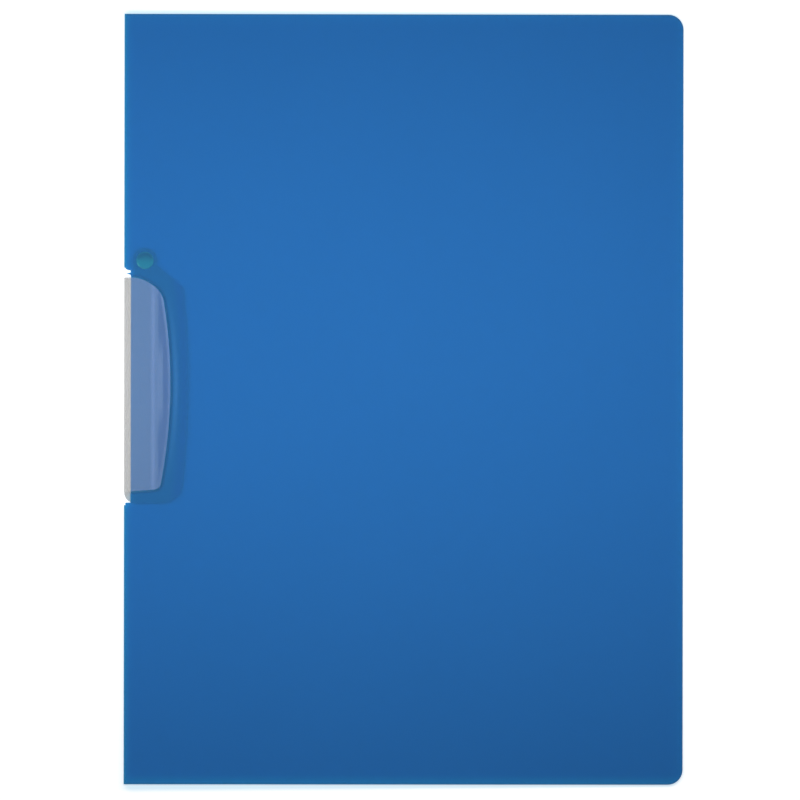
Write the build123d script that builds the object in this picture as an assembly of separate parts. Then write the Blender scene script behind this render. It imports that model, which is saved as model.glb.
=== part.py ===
from build123d import *
import math
import os

os.makedirs("parts", exist_ok=True)

# A thin A4 report file: a creased plastic cover with a clear clip that swings out of its spine.
# All sizes are in millimetres. +X runs from the spine to the open edge, +Y runs up the page and
# +Z comes out of the front cover. The origin is below the middle of the file, on the plane that
# the back cover rests on.

# Cover sheet
cover_width = 225.0
cover_height = 310.0
sheet = 0.5
corner_radius = 6.0
spine_height = 4.6
edge_gap = 0.3

# Notch in the spine for the clip, measured from the ends of the front jaw
notch_depth = 2.6
notch_above = 3.0
notch_below = 4.4
notch_upper_radius = 2.0
notch_lower_radius = 0.8
notch_inner_radius = 0.3
strip_setback = 1.0
nib_length = 1.9
nib_drop = 0.6
nib_rise = 0.3
nib_above_jaw = 1.7

# Clip: its walls, its two jaws and where it sits along the spine
clip_wall = 1.0
web_wall = 1.5
web_corner_radius = 0.9
web_inner_radius = 0.3
jaw_bottom = 117.7
jaw_length = 86.2
jaw_reach = 18.6
jaw_rim_radius = 213.0
jaw_flat = 11.7
jaw_bend_radius = 2.0
jaw_end_rise = 1.1
jaw_end_radius = 3.0
shoulder_start = 7.0
shoulder_drop = 5.7
shoulder_top_radius = 14.0
shoulder_rim_radius = 10.0
grip_gap = 0.8
lower_reach = 26.0
lower_rim_radius = 360.0
lower_end_below = 4.5
lower_end_radius = 8.0
lower_heel_radius = 4.2
lower_shoulder_drop = 3.9
lower_shoulder_radius = 3.0

# Pivot of the clip, measured from the spine line and from the upper end of the front jaw
pivot_in = 8.3
pivot_above = 6.9
boss_wall = 1.0
arm_left = 3.2
arm_right_rise = 2.0

# Rivet that holds the clip on the back cover
post_radius = 1.5
socket_radius = 0.7
flange_radius = 3.0
flange_height = 0.5
cap_radius = 3.5
cap_edge = 0.5
cap_height = 1.2
pin_length = 1.0

# Clearances
crease_gap = 0.06
clip_clearance = 0.3
window_gap = 0.6
running_gap = 0.08
hole_gap = 0.05
press_gap = 0.02
flange_gap = 0.2
seat_gap = 0.1

# Places worked out from the sizes above
spine_x = -cover_width / 2
lower_edge_y = -cover_height / 2
half_sheet = sheet / 2
crease_x = spine_x + half_sheet
back_crease_z = half_sheet
front_crease_z = spine_height - half_sheet
cover_slope = math.degrees(math.asin((front_crease_z - back_crease_z - sheet - edge_gap) / cover_width))
panel_start = crease_x + half_sheet + crease_gap

jaw_low = lower_edge_y + jaw_bottom
jaw_high = jaw_low + jaw_length
jaw_middle = (jaw_low + jaw_high) / 2
notch_low = jaw_low - notch_below
notch_high = jaw_high + notch_above

pivot_x = spine_x + pivot_in
pivot_y = jaw_high + pivot_above

clip_floor = sheet + clip_clearance
lower_jaw_top = clip_floor + clip_wall
jaw_flat_under = spine_height + clip_clearance
clip_top = jaw_flat_under + clip_wall
rim_under = lower_jaw_top + grip_gap

dimple_radius = flange_radius + flange_gap
seat_radius = dimple_radius + sheet
seat_top = flange_height + sheet
boss_pocket_radius = seat_radius + clip_clearance
boss_radius = boss_pocket_radius + boss_wall
boss_floor = seat_top + seat_gap
boss_top = boss_floor + clip_wall
cap_floor = boss_top + hole_gap


def rim_x(reach, radius, y):
    """X of a curved rim that bulges most at the middle of the jaws."""
    return spine_x + reach - radius + math.sqrt(radius**2 - (y - jaw_middle) ** 2)


def slab(face, low, high):
    """A flat outline drawn at z = 0, made solid from one height to another."""
    return Pos(0, 0, low) * extrude(face, amount=high - low)


def disc(radius, low, high):
    """A round solid on the pivot's axis."""
    return Pos(pivot_x, pivot_y, low) * Cylinder(radius, high - low, align=(Align.CENTER, Align.CENTER, Align.MIN))


def corner_near(shape, x, y):
    """The corner of a flat outline that lies nearest to a point."""
    return shape.vertices().sort_by_distance((x, y, 0))[0]


def front_jaw_outline():
    """Crescent of the front jaw: a long curved rim, a soft shoulder and a nearly square lower end."""
    high_y = jaw_high - shoulder_drop
    high_end = (rim_x(jaw_reach, jaw_rim_radius, high_y), high_y)
    low_y = jaw_low + jaw_end_rise
    low_end = (rim_x(jaw_reach, jaw_rim_radius, low_y), low_y)
    shoulder = (spine_x + shoulder_start, jaw_high)
    rim = ThreePointArc(high_end, (spine_x + jaw_reach, jaw_middle), low_end)
    ends = Polyline(low_end, (spine_x, jaw_low), (spine_x, jaw_high), shoulder, high_end)
    face = make_face([rim.edge(), *ends.edges()])
    face = fillet(corner_near(face, *low_end), jaw_end_radius)
    face = fillet(corner_near(face, *shoulder), shoulder_top_radius)
    return fillet(corner_near(face, *high_end), shoulder_rim_radius)


def lower_jaw_outline():
    """Lower jaw with its wider rim, and the short arm that rises from it to the pivot."""
    low_y = jaw_low - lower_end_below
    low_end = (rim_x(lower_reach, lower_rim_radius, low_y), low_y)
    high_y = jaw_high - lower_shoulder_drop
    high_end = (rim_x(lower_reach, lower_rim_radius, high_y), high_y)
    rim = ThreePointArc(high_end, (spine_x + lower_reach, jaw_middle), low_end)
    arm = Polyline(
        low_end,
        (spine_x, low_y),
        (spine_x, jaw_high),
        (spine_x + arm_left, jaw_high),
        (pivot_x - boss_pocket_radius, pivot_y),
        (pivot_x, pivot_y + arm_right_rise),
        high_end,
    )
    face = make_face([rim.edge(), *arm.edges()])
    face = fillet(corner_near(face, *low_end), lower_end_radius)
    face = fillet(corner_near(face, spine_x, low_y), lower_heel_radius)
    return fillet(corner_near(face, *high_end), lower_shoulder_radius)


def clip_profile():
    """Section of the web and the front jaw, drawn as X across the page and Y for height."""
    rim_end = jaw_reach + web_wall
    slope_length = rim_end - jaw_flat
    drop = (jaw_flat_under - rim_under) / (jaw_reach - jaw_flat) * slope_length
    outline = Polyline(
        (0, clip_floor),
        (0, clip_top),
        (jaw_flat, clip_top),
        (rim_end, clip_top - drop),
        (rim_end, jaw_flat_under - drop),
        (jaw_flat, jaw_flat_under),
        (web_wall, jaw_flat_under),
        (web_wall, clip_floor),
        close=True,
    )
    face = make_face(outline.edges())
    face = fillet(corner_near(face, 0, clip_top), web_corner_radius)
    face = fillet(corner_near(face, web_wall, jaw_flat_under), web_inner_radius)
    face = fillet(corner_near(face, jaw_flat, clip_top), jaw_bend_radius + clip_wall)
    return fillet(corner_near(face, jaw_flat, jaw_flat_under), jaw_bend_radius)


def page_outline():
    """The cover seen from above: rounded at the open edge, notched for the clip at the spine."""
    left = spine_x
    right = left + cover_width
    bottom = lower_edge_y
    top = bottom + cover_height
    notch_x = left + notch_depth
    outline = Polyline(
        (left, bottom),
        (right, bottom),
        (right, top),
        (left, top),
        (left, notch_high),
        (notch_x, notch_high),
        (notch_x, notch_low),
        (left, notch_low),
        close=True,
    )
    face = make_face(outline.edges())
    face = fillet(corner_near(face, right, bottom), corner_radius)
    face = fillet(corner_near(face, right, top), corner_radius)
    face = fillet(corner_near(face, left, notch_high), notch_upper_radius)
    face = fillet(corner_near(face, left, notch_low), notch_lower_radius)
    face = fillet(corner_near(face, notch_x, notch_high), notch_inner_radius)
    return fillet(corner_near(face, notch_x, notch_low), notch_inner_radius)


def panel(low):
    """One page-sized panel, cut back from its crease so that it can turn there."""
    strip = Pos(spine_x, 0, 0) * Rectangle(2 * (panel_start - spine_x), 2 * cover_height)
    return slab(page_outline() - strip, low, low + sheet)


def make_back_cover():
    """Back cover with a pointed nib in its notch and a dimple that takes the rivet's flange."""
    root_x = spine_x + notch_depth
    nib_y = jaw_high + nib_above_jaw
    nib_outline = Polyline(
        (root_x - nib_length, nib_y),
        (root_x, nib_y - nib_drop),
        (root_x + nib_drop, nib_y),
        (root_x, nib_y + nib_rise),
        close=True,
    )
    nib = slab(make_face(nib_outline.edges()), 0, sheet)
    cover = panel(0) + nib + disc(seat_radius, 0, seat_top)
    cover -= disc(dimple_radius, 0, flange_height)
    return cover - disc(post_radius + hole_gap, 0, seat_top)


def make_front_cover():
    """Front cover with a window round the front jaw, sloping down from its crease to the open edge."""
    window = offset(front_jaw_outline(), window_gap)
    cover = panel(front_crease_z - half_sheet) - slab(window, 0, 2 * spine_height)
    crease = Pos(crease_x, 0, front_crease_z)
    return crease * Rot(0, cover_slope, 0) * crease.inverse() * cover


def make_spine_strip(low, high):
    """One length of the spine strip, with a round bead on each crease."""
    size = high - low
    middle = (low + high) / 2
    web = Pos(crease_x, middle, spine_height / 2) * Box(sheet, size, front_crease_z - back_crease_z)
    bead = Rot(90, 0, 0) * Cylinder(half_sheet, size)
    lower_bead = Pos(crease_x, middle, back_crease_z) * bead
    upper_bead = Pos(crease_x, middle, front_crease_z) * bead
    return web + lower_bead + upper_bead


def make_swing_clip():
    """One clear moulding: lower jaw and arm, web in the notch, and crescent front jaw."""
    long_profile = extrude(clip_profile(), amount=jaw_length)
    bent = Pos(spine_x, jaw_high, 0) * Rot(90, 0, 0) * long_profile
    front = bent & slab(front_jaw_outline(), 0, 2 * clip_top)
    lower = slab(lower_jaw_outline(), clip_floor, lower_jaw_top)
    boss = disc(boss_radius, clip_floor, boss_top)
    clip = front + lower + boss
    clip -= disc(boss_pocket_radius, 0, boss_floor)
    return clip - disc(post_radius + running_gap, 0, clip_top)


def make_rivet_stud():
    """Flange behind the back cover, and the post that the clip turns on."""
    stud = disc(flange_radius, 0, flange_height) + disc(post_radius, 0, cap_floor)
    return stud - disc(socket_radius, cap_floor - pin_length - seat_gap, cap_floor)


def make_rivet_cap():
    """Low domed head with the pin that is pressed into the post."""
    rise = cap_height - cap_edge
    dome_radius = (cap_radius**2 + rise**2) / (2 * rise)
    dome = Pos(pivot_x, pivot_y, cap_floor + cap_height - dome_radius) * Sphere(dome_radius)
    head = disc(cap_radius, cap_floor, cap_floor + cap_height) & dome
    return head + disc(socket_radius - press_gap, cap_floor - pin_length, cap_floor + cap_edge)


strip_low = lower_edge_y
strip_high = lower_edge_y + cover_height

parts = {
    "back_cover": make_back_cover(),
    "front_cover": make_front_cover(),
    "spine_strip_lower": make_spine_strip(strip_low, notch_low - strip_setback),
    "spine_strip_upper": make_spine_strip(notch_high + strip_setback, strip_high),
    "swing_clip": make_swing_clip(),
    "rivet_stud": make_rivet_stud(),
    "rivet_cap": make_rivet_cap(),
}

for name, shape in parts.items():
    export_step(shape, f"parts/{name}.step")
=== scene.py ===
# %% [markdown]
# A thin A4 report file lies closed on a white table, seen from straight above. It is a folded sheet
# of translucent blue plastic with a clear clip in its spine. The construction comes ready made, in
# metres, and this script gives it its finish. A sheet of plastic could be modelled again here, but
# its size and its creases are already exact, so most of the work is in edges, gloss and light.

# %% Load the finished construction
import bpy
import bmesh
import math
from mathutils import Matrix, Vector


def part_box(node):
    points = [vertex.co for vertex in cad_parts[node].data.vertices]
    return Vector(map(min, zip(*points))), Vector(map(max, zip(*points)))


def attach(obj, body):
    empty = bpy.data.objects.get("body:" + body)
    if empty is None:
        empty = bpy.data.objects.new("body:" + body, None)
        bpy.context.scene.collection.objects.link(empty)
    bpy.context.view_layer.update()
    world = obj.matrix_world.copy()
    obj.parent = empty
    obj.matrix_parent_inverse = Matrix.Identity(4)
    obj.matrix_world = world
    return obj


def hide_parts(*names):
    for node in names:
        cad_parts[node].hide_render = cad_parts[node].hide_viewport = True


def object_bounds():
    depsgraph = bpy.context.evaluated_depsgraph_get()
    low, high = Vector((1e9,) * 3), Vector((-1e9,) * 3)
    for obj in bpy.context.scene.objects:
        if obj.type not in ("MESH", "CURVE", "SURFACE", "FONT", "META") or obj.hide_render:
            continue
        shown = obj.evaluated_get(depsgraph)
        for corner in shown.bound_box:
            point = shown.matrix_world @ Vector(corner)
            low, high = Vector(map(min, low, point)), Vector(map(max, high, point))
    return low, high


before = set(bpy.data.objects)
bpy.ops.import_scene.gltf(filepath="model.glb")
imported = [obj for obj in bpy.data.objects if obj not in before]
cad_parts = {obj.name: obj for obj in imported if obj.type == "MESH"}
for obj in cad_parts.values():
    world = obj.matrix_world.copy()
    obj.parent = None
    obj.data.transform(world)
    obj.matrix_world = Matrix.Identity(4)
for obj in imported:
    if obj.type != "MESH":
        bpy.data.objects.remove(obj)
cad_low, cad_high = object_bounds()
print(len(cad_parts), "solids, from", tuple(cad_low), "to", tuple(cad_high))

# %% [markdown]
# Where a piece lies is read from the construction. Its finish also follows things that no box can
# say, such as the radius of a corner or the bend of a jaw. They are written here once, in metres,
# with the values that the construction has. Two kinds are chosen instead: between_jaws is a height
# that lies between the jaws and tells front from back, and the softening distances are fitted.

# %% Sizes of the file
mm = 0.001
half_width = cad_high.x
half_height = cad_high.y
corner_radius = 6.0 * mm
window_gap = 0.6 * mm
between_jaws = 2.2 * mm
print("page", round(2 * half_width / mm), "by", round(2 * half_height / mm), "mm")

# %% Sizes of the clip's two jaws
clip_low, clip_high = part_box("swing_clip")
jaw_reach = 18.6 * mm
jaw_rim_radius = 213.0 * mm
jaw_bend = 11.7 * mm
jaw_length = 86.2 * mm
jaw_low = -half_height + 117.7 * mm
jaw_high = jaw_low + jaw_length
jaw_middle = (jaw_low + jaw_high) / 2
jaw_end_rise = 1.1 * mm
shoulder_start = 7.0 * mm
shoulder_drop = 5.7 * mm
shoulder_softening = 5.0 * mm
top_softening = 4.0 * mm
low_softening = 4.8 * mm
lower_reach = clip_high.x - clip_low.x
lower_rim_radius = 360.0 * mm
print("front jaw", round(jaw_reach / mm, 1), "mm wide and", round(jaw_length / mm, 1), "mm long")

# %% [markdown]
# Materials are trees of nodes. A few small helpers keep them short. Among them, one starts a
# material with the main shader, one gives a socket its value or its link, and one does arithmetic.

# %% Helpers for materials
def new_material(name):
    """A material with one main shader, and its tree."""
    material = bpy.data.materials.new(name)
    material.use_nodes = True
    return material, material.node_tree, material.node_tree.nodes["Principled BSDF"]


def add_node(tree, kind, **values):
    """A node of one kind, with its own settings."""
    node = tree.nodes.new(kind)
    for key, value in values.items():
        setattr(node, key, value)
    return node


def feed(tree, value, socket):
    """Gives a socket a fixed number or colour, or links another socket to it."""
    if isinstance(value, (int, float, tuple)):
        socket.default_value = value
    else:
        tree.links.new(value, socket)


def math_node(tree, operation, first, second=0.0, third=0.0, clamp=False):
    """A node that works out one number from up to three sockets or numbers."""
    node = add_node(tree, "ShaderNodeMath", operation=operation, use_clamp=clamp)
    for socket, value in zip(node.inputs, (first, second, third)):
        feed(tree, value, socket)
    return node.outputs[0]


def mix_colours(tree, share, first, second):
    """A blend of two colours by a share from 0 to 1."""
    node = add_node(tree, "ShaderNodeMix", data_type="RGBA")
    for value, name in ((share, "Factor"), (first, "A"), (second, "B")):
        feed(tree, value, node.inputs[name])
    return node.outputs["Result"]


def noise(tree, place, scale, detail):
    """Soft random cloudiness, with scale in clouds a metre."""
    node = add_node(tree, "ShaderNodeTexNoise")
    for value, name in ((place, "Vector"), (scale, "Scale"), (detail, "Detail")):
        feed(tree, value, node.inputs[name])
    return node.outputs["Fac"]


def place_on_piece(tree):
    """The place of a point on a piece, whole and as its X, Y and Z."""
    place = add_node(tree, "ShaderNodeTexCoord").outputs["Object"]
    split = add_node(tree, "ShaderNodeSeparateXYZ")
    feed(tree, place, split.inputs[0])
    return place, split.outputs["X"], split.outputs["Y"], split.outputs["Z"]


# %% [markdown]
# Both the sheet and the clip let part of the light straight through. Real plastic bends that light
# too, and a glass shader would do so, but walls this thin bend it very little. So a film, clear or
# tinted, is mixed with the solid shader, and one share says how solid the plastic looks.

# %% A surface that lets part of the light through
CLEAR = (1.0, 1.0, 1.0, 1.0)


def see_through(tree, shader, solid, tint=CLEAR):
    """Mixes a film with a solid shader, by a share that is a number or a socket."""
    film = add_node(tree, "ShaderNodeBsdfTransparent")
    film.inputs["Color"].default_value = tint
    blend = add_node(tree, "ShaderNodeMixShader")
    feed(tree, solid, blend.inputs["Fac"])
    tree.links.new(film.outputs[0], blend.inputs[1])
    tree.links.new(shader.outputs[0], blend.inputs[2])
    tree.links.new(blend.outputs[0], tree.nodes["Material Output"].inputs["Surface"])


# %% [markdown]
# Every line and fringe on this file lies at some distance from an edge. An image of them could be
# painted, but a distance is easy to work out from the place on the piece, and it stays right from
# every side. Three helpers turn a distance into a share: one for an edge, one for a line with two
# soft sides, and one for a band that is level in the middle. The fourth finds a slanting distance.

# %% Shares that fade with distance
def fade(tree, distance, reach, strength=1.0):
    """A share that is strongest at an edge and is gone at a given distance from it."""
    gone = math_node(tree, "DIVIDE", distance, reach)
    near = math_node(tree, "SUBTRACT", 1.0, gone, clamp=True)
    return math_node(tree, "MULTIPLY", near, strength)


def soft_line(tree, distance, middle, reach, strength=1.0):
    """A share that is strongest where a distance has one value, and gone a little way off it."""
    off_middle = math_node(tree, "ABSOLUTE", math_node(tree, "SUBTRACT", distance, middle))
    return fade(tree, off_middle, reach, strength)


def soft_band(tree, distance, middle, reach):
    """A share that is 1 over the inner half of a band and fades over the outer half."""
    return math_node(tree, "MINIMUM", soft_line(tree, distance, middle, reach, 2.0), 1.0)


def hypotenuse(tree, first, second):
    """The long side of a right-angled triangle, from its two short sides."""
    square = math_node(tree, "MULTIPLY", first, first)
    squares = math_node(tree, "MULTIPLY_ADD", second, second, square)
    return math_node(tree, "SQRT", squares)


# %% Distance from the edge of the page
def distance_inside(tree, across, up):
    """Distance from a point on the sheet to the nearest outer edge, round corners included."""
    height = math_node(tree, "ABSOLUTE", up)
    past_x = math_node(tree, "SUBTRACT", across, half_width - corner_radius)
    past_y = math_node(tree, "SUBTRACT", height, half_height - corner_radius)
    round_x = math_node(tree, "MAXIMUM", past_x, 0.0)
    round_y = math_node(tree, "MAXIMUM", past_y, 0.0)
    beyond = hypotenuse(tree, round_x, round_y)
    flat = math_node(tree, "MINIMUM", math_node(tree, "MAXIMUM", past_x, past_y), 0.0)
    from_edge = math_node(tree, "SUBTRACT", corner_radius, math_node(tree, "ADD", beyond, flat))
    from_spine = math_node(tree, "ADD", across, half_width)
    from_end = math_node(tree, "SUBTRACT", half_height, height)
    left_edge = math_node(tree, "MINIMUM", from_spine, from_end)
    right_half = math_node(tree, "GREATER_THAN", across, 0.0)
    left_half = math_node(tree, "SUBTRACT", 1.0, right_half)
    chosen = math_node(tree, "MULTIPLY", right_half, from_edge)
    other = math_node(tree, "MULTIPLY", left_half, left_edge)
    return math_node(tree, "ADD", chosen, other)


# %% Distance from the front jaw's outline
def inside_rim(tree, across, up, reach, radius):
    """Distance inward from a jaw's curved rim, which is an arc of a circle."""
    from_centre = math_node(tree, "ADD", across, half_width - reach + radius)
    off_middle = math_node(tree, "SUBTRACT", up, jaw_middle)
    return math_node(tree, "SUBTRACT", radius, hypotenuse(tree, from_centre, off_middle))


def beyond_line(tree, across, up, start, end):
    """Distance beyond a straight line, to the left of someone who walks from start to end."""
    along = (Vector(end) - Vector(start)).normalized()
    outward = Vector((-along.y, along.x))
    offset = -outward.dot(Vector(start))
    partly = math_node(tree, "MULTIPLY_ADD", across, outward.x, offset)
    return math_node(tree, "MULTIPLY_ADD", up, outward.y, partly)


def beyond_jaw(tree, across, up):
    """Distance outward from the front jaw's outline, which the window follows."""
    shoulder_y = jaw_high - shoulder_drop
    rise = shoulder_y - jaw_middle
    bulge = math.sqrt(jaw_rim_radius**2 - rise**2) - jaw_rim_radius
    shoulder_x = jaw_reach + bulge - half_width
    shoulder_top = (shoulder_start - half_width, jaw_high)
    low_corner = (shoulder_x, jaw_low + jaw_end_rise)
    top = beyond_line(tree, across, up, (-half_width, jaw_high), (half_width, jaw_high))
    shoulder = beyond_line(tree, across, up, shoulder_top, (shoulder_x, shoulder_y))
    low = beyond_line(tree, across, up, low_corner, (-half_width, jaw_low))
    rim = inside_rim(tree, across, up, jaw_reach, jaw_rim_radius)
    outline = math_node(tree, "MULTIPLY", rim, -1.0)
    outline = math_node(tree, "SMOOTH_MAX", outline, shoulder, shoulder_softening)
    outline = math_node(tree, "SMOOTH_MAX", outline, top, top_softening)
    return math_node(tree, "SMOOTH_MAX", outline, low, low_softening)


# %% [markdown]
# The cover is a sheet of blue polypropylene. Light runs inside the sheet and leaves it at the cut
# edges, and that is painted as a greener glow a few millimetres wide, with a thin greyer line
# right at the cut. Round the front jaw the cover has a window: a dark line follows its edge, the
# cut edge darkened with painted shade from the gap, and a painted highlight lies beside it. One
# even blue would be simpler, but it would look like card. The sheet is mostly film, which takes
# out red light, so the clip's lower jaw and the rivet's head show through it.

# %% Tints of the blue sheet
SHEET_BLUE = (0.098, 0.338, 0.655, 1.0)
SHEET_DEEP = (0.092, 0.322, 0.630, 1.0)
# The fringe tint is painted glow, where light leaves the cut edges.
EDGE_GLOW = (0.100, 0.500, 0.750, 1.0)
CUT_BLUE = (0.200, 0.300, 0.360, 1.0)
# The window's dark tint is painted shade over its cut edge.
WINDOW_SHADE = (0.100, 0.220, 0.420, 1.0)
# The window's bright tint is a painted highlight beside it.
WINDOW_HIGHLIGHT = (0.220, 0.530, 1.000, 1.0)
SEEN_THROUGH = (0.36, 0.84, 1.00, 1.0)
SHEET_BODY = 0.225
print("the sheet is", SHEET_BODY, "solid and", 1 - SHEET_BODY, "film")

# %% Widths and strengths of its edges
cut_line = 0.5 * mm
window_line = 0.65 * mm
window_line_middle = window_gap + window_line / 3
edge_glow_width, EDGE_SHARE, FOOT_SHARE = 4.0 * mm, 0.25, 0.75
spine_glow_width, SPINE_SHARE = 2.6 * mm, 0.80
glow_middle, glow_width, glow_length = 2.3 * mm, 1.4 * mm, 40.0 * mm
GLOW_SHARE = 0.6


def edge_colours(tree, colour, across, up, height):
    """Adds painted edge glow, cut edges, and the window's painted shade and highlight."""
    inside = distance_inside(tree, across, up)
    from_foot = math_node(tree, "ADD", up, half_height)
    from_spine = math_node(tree, "ADD", across, half_width)
    # Painted glow along the edges, stronger at the foot and at the spine.
    colour = mix_colours(tree, fade(tree, inside, edge_glow_width, EDGE_SHARE), colour, EDGE_GLOW)
    colour = mix_colours(tree, fade(tree, from_foot, edge_glow_width, FOOT_SHARE), colour, EDGE_GLOW)
    colour = mix_colours(tree, fade(tree, from_spine, spine_glow_width, SPINE_SHARE), colour, EDGE_GLOW)
    colour = mix_colours(tree, fade(tree, inside, cut_line), colour, CUT_BLUE)
    on_front = math_node(tree, "GREATER_THAN", height, between_jaws)
    beyond = beyond_jaw(tree, across, up)
    # A painted highlight beside the window, strongest by the middle of the jaw.
    glow = soft_line(tree, beyond, glow_middle, glow_width, GLOW_SHARE)
    near_middle = soft_line(tree, up, jaw_middle, glow_length)
    glow = math_node(tree, "MULTIPLY", math_node(tree, "MULTIPLY", glow, near_middle), on_front)
    colour = mix_colours(tree, glow, colour, WINDOW_HIGHLIGHT)
    # A line of painted shade over the window's cut edge.
    shade_at_window = soft_line(tree, beyond, window_line_middle, window_line)
    shade_at_window = math_node(tree, "MULTIPLY", shade_at_window, on_front)
    return mix_colours(tree, shade_at_window, colour, WINDOW_SHADE)


# %% Blue sheet
CLOUDS_A_METRE, GRAINS_A_METRE, FINE_DETAIL = 18.0, 1500.0, 3.0
SHEET_ROUGHNESS, ROUGHNESS_SPREAD = 0.44, 0.12
GRAIN_STRENGTH, grain_depth = 0.10, 0.05 * mm
PLASTIC_IOR, SHEET_GLOSS = 1.49, 0.20


def make_sheet_material():
    """Blue film with a fine matt grain, and painted glow, shade and highlight at its edges."""
    material, tree, shader = new_material("blue_sheet")
    place, across, up, height = place_on_piece(tree)
    clouds = noise(tree, place, CLOUDS_A_METRE, FINE_DETAIL)
    colour = mix_colours(tree, clouds, SHEET_BLUE, SHEET_DEEP)
    colour = edge_colours(tree, colour, across, up, height)
    tree.links.new(colour, shader.inputs["Base Color"])
    grain = noise(tree, place, GRAINS_A_METRE, FINE_DETAIL)
    rough = math_node(tree, "MULTIPLY_ADD", grain, ROUGHNESS_SPREAD, SHEET_ROUGHNESS)
    tree.links.new(rough, shader.inputs["Roughness"])
    bump = add_node(tree, "ShaderNodeBump")
    bump.inputs["Strength"].default_value = GRAIN_STRENGTH
    bump.inputs["Distance"].default_value = grain_depth
    tree.links.new(grain, bump.inputs["Height"])
    tree.links.new(bump.outputs["Normal"], shader.inputs["Normal"])
    shader.inputs["IOR"].default_value = PLASTIC_IOR
    shader.inputs["Specular IOR Level"].default_value = SHEET_GLOSS
    see_through(tree, shader, SHEET_BODY, SEEN_THROUGH)
    return material


def dress(node, material):
    """A construction piece keeps its mesh and takes a finish."""
    piece = bpy.data.objects[node]
    piece.data.materials.clear()
    piece.data.materials.append(material)
    print("dressed", node)


sheet_material = make_sheet_material()
for node in ("back_cover", "front_cover", "spine_strip_lower", "spine_strip_upper"):
    dress(node, sheet_material)

# %% [markdown]
# The clip is one clear moulding. Clear plastic shows itself by its edges: the flat faces let the
# blue through with a little haze, while the rims catch the light. One even haze would be simpler,
# but the front jaw has zones: painted shade darkens it from its bend to its lip, a paler streak
# runs along the lip, and a painted highlight follows the rim and dies away towards the low end. The
# lower jaw has a lip of its own, with a band of painted shade.

# %% Tints of the clear plastic
JAW_HAZE = (0.312, 0.475, 0.890, 1.0)
# The lip tint is painted shade on the front jaw's slope.
LIP_SHADE = (0.200, 0.330, 0.760, 1.0)
# The rim tint is a painted highlight.
RIM_HIGHLIGHT = (0.320, 0.520, 0.960, 1.0)
WEB_HAZE = (0.775, 0.765, 0.735, 1.0)
LOWER_HAZE = (0.150, 0.600, 1.000, 1.0)
# The lower lip tint is painted shade.
LOWER_LIP_SHADE = (0.060, 0.280, 0.950, 1.0)
SLOPE_SHARE = 0.5

# %% Zones of the two jaws
web_width = 2.7 * mm
lip_start = 13.8 * mm
rim_width = 1.1 * mm
rim_fade_low, rim_fade_length = -26.0 * mm, 36.0 * mm
streak_middle, streak_width = 14.4 * mm, 1.6 * mm
streak_height, streak_length = 6.5 * mm, 19.0 * mm
lower_lip_middle, lower_lip_width = 2.0 * mm, 3.2 * mm
bend_width = 1.3 * mm


def front_zones(tree, across, up, from_spine, upper):
    """Shares of the jaw's streak, its painted rim highlight and painted shade towards its lip."""
    rim = inside_rim(tree, across, up, jaw_reach, jaw_rim_radius)
    # Painted shade: full on the lip, and growing over the slope from the bend.
    past_lip = math_node(tree, "GREATER_THAN", from_spine, lip_start)
    inside = math_node(tree, "GREATER_THAN", rim, rim_width)
    lip = math_node(tree, "MULTIPLY", past_lip, inside)
    slope = math_node(tree, "SUBTRACT", from_spine, jaw_bend)
    slope = math_node(tree, "DIVIDE", slope, jaw_reach - jaw_bend)
    slope = math_node(tree, "MULTIPLY", math_node(tree, "MAXIMUM", slope, 0.0), SLOPE_SHARE)
    darker = math_node(tree, "MAXIMUM", lip, slope, clamp=True)
    streak = soft_band(tree, from_spine, streak_middle, streak_width)
    along = soft_band(tree, up, streak_height, streak_length)
    streak = math_node(tree, "MULTIPLY", math_node(tree, "MULTIPLY", streak, along), upper)
    darker = math_node(tree, "SUBTRACT", darker, streak, clamp=True)
    # A painted highlight along the rim, fading out towards the low end.
    rim_highlight_share = math_node(tree, "MULTIPLY", fade(tree, rim, rim_width), upper)
    rim_highlight_share = math_node(tree, "MULTIPLY", rim_highlight_share, past_lip)
    from_low = math_node(tree, "SUBTRACT", up, rim_fade_low)
    from_low = math_node(tree, "DIVIDE", from_low, rim_fade_length, clamp=True)
    return streak, math_node(tree, "MULTIPLY", rim_highlight_share, from_low), darker


def lower_lip_shade_share(tree, across, up, upper):
    """Share of the painted shade on the lip along the lower jaw's rim."""
    rim = inside_rim(tree, across, up, lower_reach, lower_rim_radius)
    lip = soft_line(tree, rim, lower_lip_middle, lower_lip_width)
    return math_node(tree, "MULTIPLY", lip, math_node(tree, "SUBTRACT", 1.0, upper))


# %% [markdown]
# How solid the clip looks is a sum of shares: a little for each jaw, more where a surface is seen
# at a slant, and a trace for each line: the painted highlights along the rim and the bend, the
# painted shade on the lower lip, and the streak. The web is seen along its depth, so it gets a
# higher share and looks grey rather than clear.

# %% Clear plastic
CLIP_ROUGHNESS = 0.15
LOWER_JAW, UPPER_EXTRA, WEB = 0.14, 0.06, 0.23
SLANT_BLEND, AT_A_SLANT = 0.35, 0.45
AT_RIM_HIGHLIGHT, AT_LOWER_LIP_SHADE, AT_STREAK, AT_BEND_HIGHLIGHT = 0.10, 0.05, 0.03, 0.10


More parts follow.
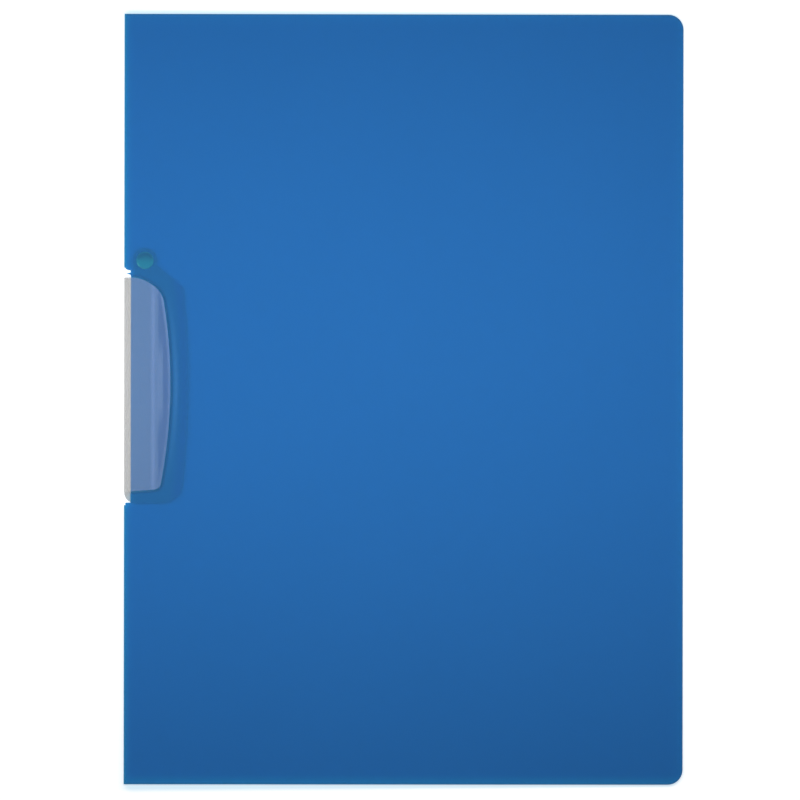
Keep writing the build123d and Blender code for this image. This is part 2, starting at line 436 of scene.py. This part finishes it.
def make_clear_material():
    """Clear plastic whose haze and colour change by zone, with painted highlights and shade."""
    material, tree, shader = new_material("clear_plastic")
    _, across, up, height = place_on_piece(tree)
    from_spine = math_node(tree, "ADD", across, half_width)
    upper = math_node(tree, "GREATER_THAN", height, between_jaws)
    web = math_node(tree, "LESS_THAN", from_spine, web_width)
    streak, rim_highlight_share, darker = front_zones(tree, across, up, from_spine, upper)
    lower_shade = lower_lip_shade_share(tree, across, up, upper)
    over = mix_colours(tree, darker, JAW_HAZE, LIP_SHADE)
    over = mix_colours(tree, rim_highlight_share, over, RIM_HIGHLIGHT)
    under = mix_colours(tree, lower_shade, LOWER_HAZE, LOWER_LIP_SHADE)
    colour = mix_colours(tree, upper, under, over)
    colour = mix_colours(tree, web, colour, WEB_HAZE)
    tree.links.new(colour, shader.inputs["Base Color"])
    shader.inputs["Roughness"].default_value = CLIP_ROUGHNESS
    shader.inputs["IOR"].default_value = PLASTIC_IOR
    # A painted highlight along the bend, shown as a little more haze.
    bend_highlight = soft_line(tree, from_spine, jaw_bend, bend_width, AT_BEND_HIGHLIGHT)
    bend_highlight = math_node(tree, "MULTIPLY", bend_highlight, upper)
    slant = add_node(tree, "ShaderNodeLayerWeight")
    slant.inputs["Blend"].default_value = SLANT_BLEND
    solid = math_node(tree, "MULTIPLY_ADD", upper, UPPER_EXTRA, LOWER_JAW)
    solid = math_node(tree, "MAXIMUM", solid, math_node(tree, "MULTIPLY", web, WEB))
    traces = ((slant.outputs["Facing"], AT_A_SLANT), (rim_highlight_share, AT_RIM_HIGHLIGHT),
              (lower_shade, AT_LOWER_LIP_SHADE), (streak, AT_STREAK))
    for share, strength in traces:
        solid = math_node(tree, "MULTIPLY_ADD", share, strength, solid)
    solid = math_node(tree, "ADD", solid, bend_highlight, clamp=True)
    see_through(tree, shader, solid)
    return material


# %% [markdown]
# A moulded edge is never sharp, because the mould itself has a small radius, and light runs along
# it as a thin line. The construction's mesh is loose triangles with sharp edges, and it is never
# changed. So the clip is a copy: its triangles are joined, its flat faces are made whole again,
# and a Bevel rounds what is left as a hard edge.

# %% Rounded edges
weld_distance = 1e-6
edge_rounding = 0.28 * mm
ROUNDING_STEPS = 3
flat_angle = math.radians(1)
hard_angle = math.radians(35)
clip_crease = math.radians(40)


def rounded_copy(node, name):
    """A copy of a construction piece with its loose triangles joined and its hard edges rounded."""
    mesh = bpy.data.objects[node].data.copy()
    mesh.name = name
    work = bmesh.new()
    work.from_mesh(mesh)
    bmesh.ops.remove_doubles(work, verts=work.verts, dist=weld_distance)
    bmesh.ops.dissolve_limit(work, angle_limit=flat_angle, verts=work.verts, edges=work.edges)
    work.to_mesh(mesh)
    work.free()
    piece = bpy.data.objects.new(name, mesh)
    bpy.context.scene.collection.objects.link(piece)
    bevel = piece.modifiers.new("rounding", "BEVEL")
    bevel.width = edge_rounding
    bevel.segments = ROUNDING_STEPS
    bevel.limit_method = "ANGLE"
    bevel.angle_limit = hard_angle
    bevel.harden_normals = False
    return piece


# %% Clip
clip = rounded_copy("swing_clip", "clear_clip")
clip.data.materials.clear()
clip.data.materials.append(make_clear_material())
clip.data.shade_smooth()
clip.data.set_sharp_from_angle(angle=clip_crease)
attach(clip, "clip")
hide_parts("swing_clip")
print("clip has", len(clip.data.polygons), "faces before rounding")

# %% [markdown]
# The rivet's head is a turned shape: one curve taken round an axis. Its points could be worked out
# in plain code, but a tree of geometry nodes keeps the rule in one place, with a named input for
# each size. It bends a flat grid round the axis. The grid's first rows become the flat underside,
# and the others rise over it as a soft dome.

# %% Where a point of the grid goes
STEPS_ROUND, ROWS = 65, 33
FLAT_ROWS = 0.25
DOME_POWER = 0.85


def turned_spot(tree, given):
    """Place on the head of a point of the grid, whose X goes round and whose Y goes out and up."""
    split = add_node(tree, "ShaderNodeSeparateXYZ")
    tree.links.new(add_node(tree, "GeometryNodeInputPosition").outputs[0], split.inputs[0])
    turn = math_node(tree, "MULTIPLY", split.outputs["X"], 2 * math.pi)
    along = math_node(tree, "ADD", split.outputs["Y"], 0.5)
    under = math_node(tree, "MULTIPLY", along, 1 / FLAT_ROWS)
    under = math_node(tree, "MINIMUM", under, 1.0)
    over = math_node(tree, "SUBTRACT", along, FLAT_ROWS)
    over = math_node(tree, "DIVIDE", over, 1 - FLAT_ROWS)
    lift = math_node(tree, "MULTIPLY", math_node(tree, "MAXIMUM", over, 0.0), math.pi / 2)
    inward = math_node(tree, "MAXIMUM", math_node(tree, "COSINE", lift), 0.0)
    inward = math_node(tree, "POWER", inward, given.outputs["Squareness"])
    rise = math_node(tree, "MAXIMUM", math_node(tree, "SINE", lift), 0.0)
    rise = math_node(tree, "POWER", rise, DOME_POWER)
    radius = math_node(tree, "MULTIPLY", under, inward)
    radius = math_node(tree, "MULTIPLY", radius, given.outputs["Radius"])
    join = add_node(tree, "ShaderNodeCombineXYZ")
    for name, turned in (("X", "COSINE"), ("Y", "SINE")):
        sideways = math_node(tree, "MULTIPLY", radius, math_node(tree, turned, turn))
        tree.links.new(sideways, join.inputs[name])
    tree.links.new(math_node(tree, "MULTIPLY", rise, given.outputs["Height"]), join.inputs["Z"])
    shift = add_node(tree, "ShaderNodeVectorMath", operation="ADD")
    tree.links.new(join.outputs[0], shift.inputs[0])
    tree.links.new(given.outputs["Centre"], shift.inputs[1])
    return shift.outputs[0]


# %% A tree that turns a head
def make_head_tree():
    """Geometry nodes that turn a flat grid into a domed head."""
    tree = bpy.data.node_groups.new("turned_head", "GeometryNodeTree")
    tree.interface.new_socket("Geometry", in_out="OUTPUT", socket_type="NodeSocketGeometry")
    inputs = {"Radius": "Float", "Height": "Float", "Squareness": "Float", "Centre": "Vector",
              "Material": "Material"}
    for name, kind in inputs.items():
        tree.interface.new_socket(name, in_out="INPUT", socket_type="NodeSocket" + kind)
    given = add_node(tree, "NodeGroupInput")
    grid = add_node(tree, "GeometryNodeMeshGrid")
    sizes = {"Size X": 1.0, "Size Y": 1.0, "Vertices X": STEPS_ROUND, "Vertices Y": ROWS}
    for name, value in sizes.items():
        grid.inputs[name].default_value = value
    put = add_node(tree, "GeometryNodeSetPosition")
    tree.links.new(turned_spot(tree, given), put.inputs["Position"])
    weld = add_node(tree, "GeometryNodeMergeByDistance")
    weld.inputs["Distance"].default_value = weld_distance
    real = add_node(tree, "GeometryNodeRealizeInstances")
    paint = add_node(tree, "GeometryNodeSetMaterial")
    tree.links.new(given.outputs["Material"], paint.inputs["Material"])
    tree.links.new(grid.outputs["Mesh"], put.inputs["Geometry"])
    for before, after in ((put, weld), (weld, real), (real, paint)):
        tree.links.new(before.outputs["Geometry"], after.inputs["Geometry"])
    result = add_node(tree, "NodeGroupOutput")
    tree.links.new(paint.outputs["Geometry"], result.inputs["Geometry"])
    return tree


# %% From a tree to a plain mesh
def from_tree(name, tree, values):
    """A plain mesh object from a tree of geometry nodes, with values given by input name."""
    holder = bpy.data.objects.new(name, bpy.data.meshes.new(name))
    bpy.context.scene.collection.objects.link(holder)
    modifier = holder.modifiers.new("shape", "NODES")
    modifier.node_group = tree
    for item in tree.interface.items_tree:
        if item.in_out == "INPUT" and item.name in values:
            modifier[item.identifier] = values[item.name]
    graph = bpy.context.evaluated_depsgraph_get()
    mesh = bpy.data.meshes.new_from_object(holder.evaluated_get(graph))
    holder.modifiers.clear()
    holder.data = mesh
    return holder


def smooth_outward(piece, crease):
    """Rounded shading, with every face turned outward."""
    work = bmesh.new()
    work.from_mesh(piece.data)
    bmesh.ops.remove_doubles(work, verts=work.verts, dist=weld_distance)
    bmesh.ops.recalc_face_normals(work, faces=work.faces)
    work.to_mesh(piece.data)
    work.free()
    piece.data.shade_smooth()
    piece.data.set_sharp_from_angle(angle=crease)


# %% [markdown]
# Seen through the blue sheet, the rivet's head is greener below, and darker and warmer above, as a
# dome of yellow metal would be. So it is made brass: a fully metallic shader, with fine marks in
# its colour and roughness. The stud below it has a flange that lies flush in the back cover, and
# that solid needs no change.

# %% Rivet metal
BRASS_DEEP = (0.74, 0.56, 0.26, 1.0)
BRASS_PALE = (0.86, 0.68, 0.34, 1.0)
MARKS_A_METRE, MARKS_DETAIL = 900.0, 2.0
BRASS_ROUGHNESS, BRASS_SPREAD = 0.26, 0.06


def make_rivet_material():
    """Brass with fine marks."""
    material, tree, shader = new_material("rivet_metal")
    place = add_node(tree, "ShaderNodeTexCoord").outputs["Object"]
    marks = noise(tree, place, MARKS_A_METRE, MARKS_DETAIL)
    colour = mix_colours(tree, marks, BRASS_DEEP, BRASS_PALE)
    tree.links.new(colour, shader.inputs["Base Color"])
    rough = math_node(tree, "MULTIPLY_ADD", marks, BRASS_SPREAD, BRASS_ROUGHNESS)
    tree.links.new(rough, shader.inputs["Roughness"])
    shader.inputs["Metallic"].default_value = 1.0
    return material


# %% Rivet head
cap_low, cap_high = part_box("rivet_cap")
HEAD_SQUARENESS = 0.80
head_height = 1.2 * mm
head_crease = math.radians(50)
head_centre = ((cap_low.x + cap_high.x) / 2, (cap_low.y + cap_high.y) / 2,
               cap_high.z - head_height)
rivet_material = make_rivet_material()
head = from_tree("rivet_head", make_head_tree(), {
    "Radius": (cap_high.x - cap_low.x) / 2,
    "Height": head_height,
    "Squareness": HEAD_SQUARENESS,
    "Centre": head_centre,
    "Material": rivet_material,
})
smooth_outward(head, head_crease)
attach(head, "back")
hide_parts("rivet_cap")
dress("rivet_stud", rivet_material)
print("rivet head", len(head.data.polygons), "faces")

# %% [markdown]
# A product picture like this has a white table and soft light. The table's own colour is pale, and
# the camera sees extra light on it, over half as strong as full white. It is added to what the
# table reflects, so the file's faint shadow stays. Where the camera sees the table through the
# plastic there is no extra, so the blue keeps its depth. The lamp is near, so the table would turn
# grey a little way off. More light would bleach the file, and so the extra grows with the distance
# instead.

# %% Table
TABLE_LIFT, FAR_LIFT = 0.56, 0.87
LIFT_START, LIFT_GROWTH = 0.20, 0.9
TABLE_COLOUR = (0.86, 0.86, 0.86, 1.0)
TABLE_ROUGHNESS, TABLE_GLOSS = 0.9, 0.1
table_reach = 6.0
below_file = -0.15 * mm


def table_extra(tree):
    """The extra light on the table, for a camera with nothing in its way and for reflections."""
    ray = add_node(tree, "ShaderNodeLightPath")
    in_the_open = math_node(tree, "LESS_THAN", ray.outputs["Transparent Depth"], 0.5)
    seen = math_node(tree, "MULTIPLY", ray.outputs["Is Camera Ray"], in_the_open)
    for name in ("Is Glossy Ray", "Is Transmission Ray"):
        seen = math_node(tree, "MAXIMUM", seen, ray.outputs[name])
    distance = add_node(tree, "ShaderNodeVectorMath", operation="LENGTH")
    tree.links.new(add_node(tree, "ShaderNodeTexCoord").outputs["Object"], distance.inputs[0])
    away = math_node(tree, "SUBTRACT", distance.outputs["Value"], LIFT_START)
    away = math_node(tree, "MAXIMUM", away, 0.0)
    lift = math_node(tree, "MULTIPLY_ADD", away, LIFT_GROWTH, TABLE_LIFT)
    lift = math_node(tree, "MINIMUM", lift, FAR_LIFT)
    extra = add_node(tree, "ShaderNodeEmission")
    tree.links.new(math_node(tree, "MULTIPLY", seen, lift), extra.inputs["Strength"])
    return extra


def make_table():
    """A wide pale plane a hair below the file."""
    mesh = bpy.data.meshes.new("table")
    corners = [(x * table_reach, y * table_reach, below_file)
               for x, y in ((-1, -1), (1, -1), (1, 1), (-1, 1))]
    mesh.from_pydata(corners, [], [(0, 1, 2, 3)])
    table = bpy.data.objects.new("table", mesh)
    bpy.context.scene.collection.objects.link(table)
    material, tree, shader = new_material("white_table")
    shader.inputs["Base Color"].default_value = TABLE_COLOUR
    shader.inputs["Roughness"].default_value = TABLE_ROUGHNESS
    shader.inputs["Specular IOR Level"].default_value = TABLE_GLOSS
    both = add_node(tree, "ShaderNodeAddShader")
    tree.links.new(shader.outputs[0], both.inputs[0])
    tree.links.new(table_extra(tree).outputs[0], both.inputs[1])
    tree.links.new(both.outputs[0], tree.nodes["Material Output"].inputs["Surface"])
    mesh.materials.append(material)


make_table()
print("table", 2 * table_reach, "m wide")

# %% [markdown]
# One long soft lamp hangs close over the spine side of the page. It could hang high up, and then
# the page would be lit evenly, but near as it is the blue gets a little darker towards the top, the
# foot and the far side, as in the picture. It lies across the page, and it isn't mirrored in the
# plastic, where its outline would show.

# %% Lamp
lamp_place, lamp_target = (-0.05, 0.035, 0.29), (-0.05, 0.035, 0.0)
lamp_width, lamp_depth = 0.60, 0.14
LAMP_WATTS = 1.16


def make_lamp():
    """A soft rectangular lamp that looks down at the page."""
    data = bpy.data.lights.new("strip", "AREA")
    data.shape = "RECTANGLE"
    data.size = lamp_width
    data.size_y = lamp_depth
    data.energy = LAMP_WATTS
    lamp = bpy.data.objects.new("strip", data)
    lamp.location = lamp_place
    down = Vector(lamp_target) - Vector(lamp_place)
    lamp.rotation_euler = down.to_track_quat("-Z", "Y").to_euler()
    lamp.visible_camera = False
    lamp.visible_glossy = False
    bpy.context.scene.collection.objects.link(lamp)


make_lamp()
print("lamp of", LAMP_WATTS, "watts at", lamp_place)

# %% [markdown]
# The world plays the white room round the table. As a light it is dim, so that the shadows stay,
# and to the camera it is plain white. What is mirrored needs something to tell its sides apart, or
# a metal dome would look flat. So for reflections the room is white towards the foot of the page
# and gets darker towards its head, and the rivet has a dark top and a bright lower part.

# %% World
SKY_LEVEL = 0.15
MIRRORED_LEVEL, MIRRORED_FALL = 0.85, -2.4


def make_world():
    """A white room that gives a dim light and is darker on one side in reflections."""
    world = bpy.data.worlds.new("studio")
    world.use_nodes = True
    tree = world.node_tree
    sky = tree.nodes["Background"]
    sky.inputs["Color"].default_value = (1.0, 1.0, 1.0, 1.0)
    ray = add_node(tree, "ShaderNodeLightPath")
    split = add_node(tree, "ShaderNodeSeparateXYZ")
    tree.links.new(add_node(tree, "ShaderNodeTexCoord").outputs["Generated"], split.inputs[0])
    room = math_node(tree, "MULTIPLY_ADD", split.outputs["Y"], MIRRORED_FALL, MIRRORED_LEVEL,
                     clamp=True)
    mirrored = math_node(tree, "MULTIPLY", ray.outputs["Is Glossy Ray"], room)
    seen, sent_on = ray.outputs["Is Camera Ray"], ray.outputs["Is Transmission Ray"]
    white = math_node(tree, "MAXIMUM", seen, sent_on)
    level = math_node(tree, "MAXIMUM", math_node(tree, "MAXIMUM", white, mirrored), SKY_LEVEL)
    tree.links.new(level, sky.inputs["Strength"])
    bpy.context.scene.world = world


make_world()
print("room light", SKY_LEVEL)

# %% [markdown]
# The camera looks straight down from well above, through a long lens, so the edges stay parallel.
# A camera without perspective would do that too, but even a long lens shows the sides of raised
# parts a little, as a real one does. It is turned by a trace, as the page in the picture is.

# %% Camera
PHOTO_WIDTH = 800
METRES_A_PIXEL = 0.4025 * mm
LENS, SENSOR = 400.0, 36.0
view_width = PHOTO_WIDTH * METRES_A_PIXEL
scale_height = 2.5 * mm
aim = Vector((-1.49 * mm, -0.22 * mm, 0.0))
roll = math.radians(0.08)
camera_data = bpy.data.cameras.new("camera")
camera_data.lens = LENS
camera_data.sensor_width = SENSOR
camera = bpy.data.objects.new("camera", camera_data)
camera.location = aim + Vector((0.0, 0.0, view_width * LENS / SENSOR + scale_height))
camera.rotation_euler = (0.0, 0.0, roll)
bpy.context.scene.collection.objects.link(camera)
bpy.context.scene.camera = camera
bpy.context.scene.view_settings.view_transform = "Standard"
print("camera", round(camera.location.z, 3), "m above the table")
